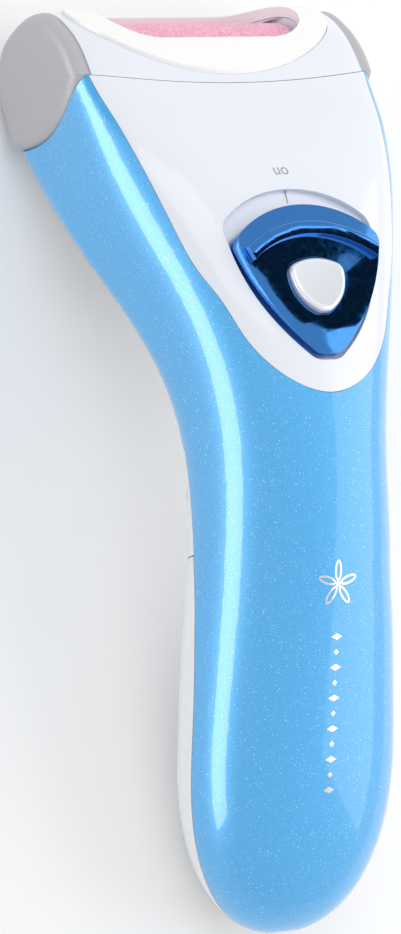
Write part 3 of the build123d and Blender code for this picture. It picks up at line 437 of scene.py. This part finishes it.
def finished_piece(name, mesh, material, body, stands_for=None):
    """Turns a bmesh into a piece that rides on a body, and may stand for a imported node."""
    bmesh.ops.remove_doubles(mesh, verts=mesh.verts, dist=1e-7)
    bmesh.ops.recalc_face_normals(mesh, faces=mesh.faces)
    data = bpy.data.meshes.new(name)
    mesh.to_mesh(data)
    mesh.free()
    if stands_for is None and sum(p.normal.z * p.area for p in data.polygons) < 0:
        data.flip_normals()
    data.materials.append(material)
    piece = bpy.data.objects.new(name, data)
    bpy.context.scene.collection.objects.link(piece)
    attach(piece, body)
    if stands_for is not None:
        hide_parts(stands_for)
    return piece


def body_of_node(node_name):
    return frame["nodes"][node_name]["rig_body"]


def pressed_spring(node_name, material, axis):
    """A smooth-shaded coil that stands for a packed spring."""
    mesh = bmesh.new()
    mesh.from_mesh(frame["nodes"][node_name].data)
    for face in mesh.faces:
        face.smooth = True
    piece = finished_piece(node_name + "_coil", mesh, material, body_of_node(node_name),
                           node_name)
    axis = Vector(axis).normalized()
    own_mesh(piece)


# ---------------------------------------------------------------- operators
class CALLUS_OT_groups(bpy.types.Operator):
    """Builds the shared surface effects."""

    bl_idname = "callus_remover.groups"
    bl_label = "Surface effects"

    def execute(self, context):
        make_moulded_group()
        make_flake_group()
        make_metal_group()
        make_grit_group()
        return {"FINISHED"}


class CALLUS_OT_shells(bpy.types.Operator):
    """Finishes the two shells, the battery cover and their screws."""

    bl_idname = "callus_remover.shells"
    bl_label = "Shells"

    def execute(self, context):
        looks = context.scene.callus_finishes
        material, tree, shader, place = start_material("pearl_blue_shell", Metallic=0.12,
                                                       Coat_Weight=1.0, Coat_Roughness=0.06)
        flakes = use_group(tree, "mica_flakes", Vector=place, Color=rgba(looks.pearl),
                           Flake=rgba(looks.pearl_speck), Scale=3400.0, Share=0.07)
        fine = use_group(tree, "mica_flakes", Vector=place, Color=flakes.outputs["Color"],
                         Flake=rgba(looks.pearl_speck), Scale=8500.0, Share=0.12)
        plain = use_group(tree, "moulded_plastic", Vector=place, Color=fine.outputs["Color"],
                          Roughness=0.36, Variation=0.06, Scale=1500.0)
        join(tree, plain.outputs["Color"], shader.inputs["Base Color"])
        join(tree, plain.outputs["Roughness"], shader.inputs["Roughness"])
        bumped(tree, shader, flakes.outputs["Height"], 0.00003, 0.25)
        dress("front_shell", material)
        white = plastic("gloss_white_shell", looks.white, 0.22, 0.05, 1800.0, 0.05,
                        Coat_Weight=0.5, Coat_Roughness=0.08)
        dress("back_shell", white)
        dress("battery_cover", plastic("gloss_white_cover", looks.white, 0.26, 0.06, 2200.0, 0.08,
                                       Coat_Weight=0.4, Coat_Roughness=0.1))
        dress("shell_screws", metal("zinc_screws", (0.62, 0.63, 0.66), 0.3, 2600.0))
        return {"FINISHED"}


class CALLUS_OT_face(bpy.types.Operator):
    """Finishes the face panel, roller housing, bezel and end caps."""

    bl_idname = "callus_remover.face"
    bl_label = "Face and head"

    def execute(self, context):
        looks = context.scene.callus_finishes
        dress("face_panel", plastic("gloss_panel", looks.panel, 0.2, 0.04, 1600.0, 0.04,
                                    Coat_Weight=0.7, Coat_Roughness=0.05))
        dress("roller_housing", plastic("gloss_nose", looks.panel, 0.2, 0.04, 1600.0, 0.04,
                                        Coat_Weight=0.7, Coat_Roughness=0.05))
        dress("window_bezel", plastic("satin_bezel", looks.bezel, 0.3, 0.05, 2400.0, 0.06,
                                      Coat_Weight=0.3, Coat_Roughness=0.15))
        grey = plastic("satin_cap", looks.cap, 0.42, 0.07, 3200.0, 0.2)
        dress("left_cap", grey)
        dress("right_cap", grey)
        return {"FINISHED"}


class CALLUS_OT_roller(bpy.types.Operator):
    """Finishes the abrasive roller and what carries it."""

    bl_idname = "callus_remover.roller"
    bl_label = "Roller"

    def execute(self, context):
        looks = context.scene.callus_finishes
        material, tree, shader, place = start_material("pink_abrasive", Roughness=0.62,
                                                       Subsurface_Weight=0.12,
                                                       Subsurface_Scale=0.001)
        grit = use_group(tree, "abrasive_grit", Vector=place, Color=rgba(looks.roller),
                         Scale=2600.0)
        join(tree, grit.outputs["Color"], shader.inputs["Base Color"])
        bumped(tree, shader, grit.outputs["Height"], 0.00025, 0.7)
        dress("roller_sleeve", material)
        dress("roller_core", plastic("core_plastic", (0.78, 0.78, 0.79), 0.35, 0.1, 2600.0, 0.15))
        dress("drive_bush", plastic("bush_plastic", (0.10, 0.10, 0.11), 0.4, 0.1, 2600.0, 0.15))
        dress("idle_plunger", plastic("plunger_plastic", (0.80, 0.80, 0.77), 0.32, 0.1))
        wire = metal("spring_wire", (0.50, 0.51, 0.54), 0.28, 3500.0)
        dress("plunger_spring", wire)
        pressed_spring("plunger_spring", wire, (1.0, 0.0, 0.0))
        return {"FINISHED"}


class CALLUS_OT_switch(bpy.types.Operator):
    """Finishes the slide switch, its lock button and what they work."""

    bl_idname = "callus_remover.switch"
    bl_label = "Switch"

    def execute(self, context):
        looks = context.scene.callus_finishes
        plated = metal("plated_blue", looks.switch, 0.09, 900.0, strength=0.01,
                       Coat_Weight=1.0, Coat_Roughness=0.03)
        dress("switch_slider", plated)
        self.round_slider(plated)
        dress("lock_button", plastic("pearl_silver", looks.button, 0.24, 0.06, 900.0, 0.02,
                                     Metallic=0.35, Coat_Weight=0.5, Coat_Roughness=0.05))
        wire = metal("lock_wire", (0.52, 0.53, 0.55), 0.28, 3500.0)
        dress("lock_spring", wire)
        pressed_spring("lock_spring", wire, SWITCH_UP)
        dress("switch_carriage", plastic("carriage_plastic", (0.74, 0.74, 0.72), 0.4, 0.1))
        dress("micro_switch", plastic("switch_case", (0.025, 0.026, 0.03), 0.45, 0.3, 3000.0, 0.3))
        material, tree, shader, place = start_material("board_laminate", Roughness=0.35,
                                                       Coat_Weight=0.5, Coat_Roughness=0.2)
        tracks = add_node(tree, "ShaderNodeTexBrick")
        tracks.inputs["Scale"].default_value = 420.0
        tracks.inputs["Mortar Size"].default_value = 0.03
        tracks.inputs["Color1"].default_value = (0.010, 0.115, 0.050, 1.0)
        tracks.inputs["Color2"].default_value = (0.013, 0.140, 0.062, 1.0)
        tracks.inputs["Mortar"].default_value = (0.050, 0.27, 0.12, 1.0)
        join(tree, place, tracks.inputs["Vector"])
        resin = use_group(tree, "moulded_plastic", Vector=place, Color=tracks.outputs["Color"],
                          Roughness=0.35, Variation=0.2, Scale=2600.0)
        join(tree, resin.outputs["Color"], shader.inputs["Base Color"])
        bumped(tree, shader, tracks.outputs["Fac"], 0.00004, 0.4)
        dress("circuit_board", material)
        dress("board_screws", metal("board_screw_steel", (0.58, 0.59, 0.61), 0.3, 2600.0))
        return {"FINISHED"}


    def round_slider(self, plated):
        """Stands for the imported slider, with its upper edges rolled over as plating leaves them."""
        mesh = bmesh.new()
        mesh.from_mesh(frame["nodes"]["switch_slider"].data)
        bmesh.ops.remove_doubles(mesh, verts=mesh.verts, dist=2e-6)
        bmesh.ops.dissolve_limit(mesh, angle_limit=math.radians(1.5), verts=mesh.verts,
                                 edges=mesh.edges)
        high = [edge for edge in mesh.edges
                if len(edge.link_faces) == 2
                and edge.calc_face_angle(0.0) > math.radians(38)
                and all((vertex.co - SWITCH_CENTRE).dot(SWITCH_UP) > -1.3 * MM
                        for vertex in edge.verts)]
        bmesh.ops.bevel(mesh, geom=high, offset=0.9 * MM, offset_type="OFFSET", segments=4,
                        profile=0.5, affect="EDGES", clamp_overlap=True, material=-1)
        bmesh.ops.triangulate(mesh, faces=mesh.faces)
        for face in mesh.faces:
            face.smooth = True
        for edge in mesh.edges:
            edge.smooth = edge.calc_face_angle(0.0) < math.radians(32)
        finished_piece("slider_plating", mesh, plated, body_of_node("switch_slider"),
                       "switch_slider")


class CALLUS_OT_drive(bpy.types.Operator):
    """Finishes the motor and the gear train."""

    bl_idname = "callus_remover.drive"
    bl_label = "Motor and gears"

    def execute(self, context):
        across = (1.0, 0.08, 0.08)
        dress("motor_can", metal("drawn_can", (0.60, 0.61, 0.63), 0.3, 1800.0, across, 0.2))
        dress("motor_shaft", metal("ground_shaft", (0.68, 0.69, 0.71), 0.18, 2600.0, across))
        dress("idler_pin", metal("ground_pin", (0.66, 0.67, 0.69), 0.2, 2600.0, across))
        dress("motor_end_cap", plastic("nylon_cap", (0.72, 0.71, 0.66), 0.45, 0.12))
        dress("motor_terminals", metal("tinned_copper", (0.70, 0.45, 0.26), 0.3, 2200.0))
        dress("motor_magnets", plastic("ferrite", (0.045, 0.045, 0.05), 0.65, 0.3, 3800.0, 0.5))
        dress("motor_armature", banded("wound_armature", "motor_armature", (1, 0, 0),
                                       [(0.0, (0.42, 0.42, 0.44)), (0.14, (0.62, 0.25, 0.09)),
                                        (0.30, (0.30, 0.30, 0.32)), (0.74, (0.62, 0.25, 0.09)),
                                        (0.90, (0.42, 0.42, 0.44))],
                                       [(0.0, 1.0), (0.5, 1.0)], 0.35))
        dress("motor_plate", plastic("motor_plate_plastic", (0.06, 0.06, 0.065), 0.45, 0.2))
        nylon = plastic("acetal_gears", (0.80, 0.80, 0.75), 0.33, 0.08, 2800.0, 0.12,
                        Subsurface_Weight=0.1, Subsurface_Scale=0.0008)
        dress("roller_gear", nylon)
        dress("idler_gear", nylon)
        dress("motor_pinion", metal("brass_pinion", (0.72, 0.50, 0.20), 0.25, 2600.0))
        return {"FINISHED"}


class CALLUS_OT_power(bpy.types.Operator):
    """Finishes the battery bay, the cells, the contacts and the leads."""

    bl_idname = "callus_remover.power"
    bl_label = "Batteries and leads"

    def execute(self, context):
        along = (0.0, math.cos(CELL_SLOPE), math.sin(CELL_SLOPE))
        wrap = [(0.0, (0.62, 0.63, 0.65)), (0.025, (0.06, 0.09, 0.16)),
                (0.30, (0.72, 0.74, 0.77)), (0.335, (0.06, 0.09, 0.16)),
                (0.965, (0.62, 0.63, 0.65))]
        metals = [(0.0, 1.0), (0.025, 0.2), (0.965, 1.0)]
        dress("battery_left", banded("cell_wrap_left", "battery_left", along, wrap, metals))
        dress("battery_right", banded("cell_wrap_right", "battery_right",
                                      tuple(-value for value in along), wrap, metals))
        dress("battery_tray", plastic("tray_plastic", (0.60, 0.61, 0.62), 0.45, 0.12, 2400.0, 0.2))
        dress("contact_plates", metal("nickel_plate", (0.66, 0.65, 0.61), 0.24, 2200.0))
        dress("contact_springs", metal("nickel_wire", (0.64, 0.63, 0.60), 0.26, 3200.0))
        for name in ("battery_leads", "motor_leads"):
            dress(name, banded(name + "_jacket", name, (1, 0, 0),
                               [(0.0, (0.02, 0.02, 0.022)), (0.5, (0.50, 0.02, 0.02))],
                               [(0.0, 0.0), (0.5, 0.0)], 0.4))
        return {"FINISHED"}


class CALLUS_OT_ornament(bpy.types.Operator):
    """Lays the silver flower and its row of lozenges on the handle."""

    bl_idname = "callus_remover.ornament"
    bl_label = "Ornament"

    def execute(self, context):
        marks = context.scene.callus_marks
        foil = metal("silver_foil", context.scene.callus_finishes.foil, 0.2, 1600.0, strength=0.03)
        surface = surface_of("front_shell")
        body = body_of_node("front_shell")
        flower = bmesh.new()
        for step in range(5):
            turn = Matrix.Rotation(math.tau * step / 5, 4, "Z")
            shift = Matrix.Translation((0.0, marks.petal_length * 0.62, 0.0))
            shape = Matrix.Diagonal((0.40, 1.0, 1.0, 1.0))
            place = Matrix.Translation((0.0, marks.ornament_y, 0.0))
            outer = bmesh.ops.create_circle(flower, cap_ends=True, segments=28,
                                            radius=marks.petal_length / 2,
                                            matrix=place @ turn @ shift @ shape)
            face = list({f for v in outer["verts"] for f in v.link_faces})
            rim = bmesh.ops.inset_individual(flower, faces=face, use_even_offset=True,
                                             thickness=marks.petal_length * 0.10)
            if not rim["faces"]:
                raise RuntimeError("a petal has no rim")
            bmesh.ops.delete(flower, geom=face, context="FACES")
        bmesh.ops.create_circle(flower, cap_ends=True, segments=20, radius=marks.petal_length * 0.13,
                                matrix=Matrix.Translation((0.0, marks.ornament_y, 0.0)))
        laid_on(flower, surface, MARK_LIFT)
        finished_piece("handle_flower", flower, foil, body)
        row = bmesh.new()
        for step in range(11):
            place = Matrix.Translation((0.0, marks.row_start_y - marks.row_pitch * step, 0.0))
            long_one = step % 2 == 0
            shape = Matrix.Diagonal((1.25 if long_one else 0.55, 0.62 if long_one else 0.55, 1, 1))
            bmesh.ops.create_circle(row, cap_ends=True, segments=4, radius=1.0 * MM,
                                    matrix=place @ shape)
        laid_on(row, surface, MARK_LIFT)
        finished_piece("handle_lozenges", row, foil, body)
        return {"FINISHED"}


class CALLUS_OT_label(bpy.types.Operator):
    """Prints the index line and the word above the switch."""

    bl_idname = "callus_remover.label"
    bl_label = "Switch label"

    def execute(self, context):
        marks = context.scene.callus_marks
        ink = plastic("grey_ink", (0.34, 0.35, 0.38), 0.5, 0.1)
        surface = surface_of("face_panel")
        body = body_of_node("face_panel")
        line = bmesh.new()
        shape = Matrix.Diagonal((0.14 * MM, 1.5 * MM, 1.0, 1.0))
        bmesh.ops.create_grid(line, x_segments=1, y_segments=6, size=1.0,
                              matrix=Matrix.Translation((0.0, marks.index_y, 0.0)) @ shape)
        laid_on(line, surface, INK_LIFT)
        finished_piece("index_line", line, ink, body)
        curve = bpy.data.curves.new("switch_word", "FONT")
        curve.body = "on"
        curve.size = 3.3 * MM
        curve.align_x = "CENTER"
        curve.align_y = "CENTER"
        carrier = bpy.data.objects.new("switch_word_outline", curve)
        context.scene.collection.objects.link(carrier)
        context.view_layer.update()
        data = bpy.data.meshes.new_from_object(
            carrier.evaluated_get(context.evaluated_depsgraph_get()))
        bpy.data.objects.remove(carrier)
        word = bmesh.new()
        word.from_mesh(data)
        bmesh.ops.transform(word, verts=word.verts,
                            matrix=Matrix.Translation((0.0, marks.label_y, 0.0))
                            @ Matrix.Rotation(math.pi, 4, "Z"))
        laid_on(word, surface, INK_LIFT)
        finished_piece("switch_word", word, ink, body)
        return {"FINISHED"}


class CALLUS_OT_studio(bpy.types.Operator):
    """Sets up the floor, the lights and the camera."""

    bl_idname = "callus_remover.studio"
    bl_label = "Studio"

    def execute(self, context):
        studio = context.scene.callus_studio
        scene = context.scene
        scene.view_settings.view_transform = "Standard"
        scene.view_settings.look = "None"
        low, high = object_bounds()
        self.make_floor(low.z)
        world = bpy.data.worlds.new("room")
        world.use_nodes = True
        world.node_tree.nodes["Background"].inputs["Color"].default_value = (1.0, 1.0, 1.0, 1.0)
        world.node_tree.nodes["Background"].inputs["Strength"].default_value = studio.fill
        scene.world = world
        self.area("left_strip", (-0.125, 0.01, 0.030), (0.0, 0.0, 0.034), 0.052, 0.30,
                  studio.left_strip, spread=False)
        self.area("right_box", (0.42, -0.02, 0.34), (0.0, -0.01, 0.03), 0.42, 0.70,
                  studio.right_box)
        self.area("top_box", (-0.25, 0.45, 0.9), (0.0, 0.0, 0.03), 0.7, 0.7, studio.top_box)
        self.card("dark_card", (0.150, 0.105, 0.235), (0.0, 0.029, 0.051), 0.042)
        self.card("low_card", (-0.16, 0.26, 0.20), (0.0, 0.029, 0.051), 0.060)
        self.make_camera(studio)
        return {"FINISHED"}

    def make_floor(self, height):
        mesh = bmesh.new()
        bmesh.ops.create_grid(mesh, x_segments=4, y_segments=4, size=3.0,
                              matrix=Matrix.Translation((0.0, 0.0, height - 0.02 * MM)))
        data = bpy.data.meshes.new("floor")
        mesh.to_mesh(data)
        mesh.free()
        data.materials.append(plastic("floor_paper", (0.93, 0.93, 0.93), 0.8, 0.02, 400.0, 0.02))
        floor = bpy.data.objects.new("floor", data)
        bpy.context.scene.collection.objects.link(floor)
        floor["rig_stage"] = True

    def area(self, name, place, target, width, length, power, spread=True):
        """A soft box whose long side lies along the object. Without spread only reflections see it."""
        lamp = bpy.data.lights.new(name, "AREA")
        lamp.shape = "RECTANGLE"
        lamp.size = width
        lamp.size_y = length
        lamp.energy = power
        carrier = bpy.data.objects.new(name, lamp)
        back = (Vector(place) - Vector(target)).normalized()
        side = Vector((0, 1, 0)).cross(back).normalized()
        turn = Matrix((side, back.cross(side), back)).transposed().to_4x4()
        carrier.matrix_world = Matrix.Translation(place) @ turn
        carrier.visible_camera = False
        carrier.visible_diffuse = spread
        bpy.context.scene.collection.objects.link(carrier)

    def card(self, name, place, target, half):
        """A dark card that only reflections see, for contrast in the plated switch."""
        mesh = bmesh.new()
        turn = (Vector(target) - Vector(place)).to_track_quat("Z", "Y").to_matrix().to_4x4()
        bmesh.ops.create_grid(mesh, x_segments=1, y_segments=1, size=half,
                              matrix=Matrix.Translation(place) @ turn)
        data = bpy.data.meshes.new(name)
        mesh.to_mesh(data)
        mesh.free()
        data.materials.append(plastic("card_black", (0.01, 0.01, 0.012), 0.9, 0.02))
        carrier = bpy.data.objects.new(name, data)
        carrier.visible_camera = False
        carrier.visible_diffuse = False
        carrier.visible_shadow = False
        bpy.context.scene.collection.objects.link(carrier)
        carrier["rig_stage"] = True

    def make_camera(self, studio):
        right = Vector((0.8465, -0.129, 0.5126)).normalized()
        back = right.cross(Vector((0.0443, 0.983, 0.175))).normalized()
        up = back.cross(right)
        aim = Vector((0.0, 0.0, 25.0 * MM)) - right * 11.8 * MM - up * 1.9 * MM
        data = bpy.data.cameras.new("camera")
        data.lens = studio.lens
        data.sensor_width = 36.0
        data.clip_start = 0.05
        data.clip_end = 20.0
        carrier = bpy.data.objects.new("camera", data)
        turn = Matrix((right, up, back)).transposed().to_4x4()
        carrier.matrix_world = Matrix.Translation(aim + back * studio.distance) @ turn
        bpy.context.scene.collection.objects.link(carrier)
        bpy.context.scene.camera = carrier


STEPS = ("groups", "shells", "face", "roller", "switch", "drive", "power", "ornament", "label",
         "studio")


class CALLUS_PT_panel(bpy.types.Panel):
    """Lists every step of the looks."""

    bl_idname = "CALLUS_PT_panel"
    bl_label = "Callus remover"
    bl_space_type = "VIEW_3D"
    bl_region_type = "UI"
    bl_category = "Callus remover"

    def draw(self, context):
        for step in STEPS:
            self.layout.operator("callus_remover." + step)
        for name in ("callus_finishes", "callus_marks", "callus_studio"):
            group = getattr(context.scene, name)
            for label in group.bl_rna.properties.keys():
                if label not in ("rna_type", "name"):
                    self.layout.prop(group, label)


CLASSES = (CallusFinishes, CallusMarks, CallusStudio, CALLUS_OT_groups, CALLUS_OT_shells,
           CALLUS_OT_face, CALLUS_OT_roller, CALLUS_OT_switch, CALLUS_OT_drive, CALLUS_OT_power,
           CALLUS_OT_ornament, CALLUS_OT_label, CALLUS_OT_studio, CALLUS_PT_panel)


def register():
    for item in CLASSES:
        bpy.utils.register_class(item)
    bpy.types.Scene.callus_finishes = PointerProperty(type=CallusFinishes)
    bpy.types.Scene.callus_marks = PointerProperty(type=CallusMarks)
    bpy.types.Scene.callus_studio = PointerProperty(type=CallusStudio)


def unregister():
    del bpy.types.Scene.callus_studio
    del bpy.types.Scene.callus_marks
    del bpy.types.Scene.callus_finishes
    for item in reversed(CLASSES):
        bpy.utils.unregister_class(item)


def main():
    register()
    for step in STEPS:
        getattr(bpy.ops.callus_remover, step)()


if __name__ == "__main__":
    main()
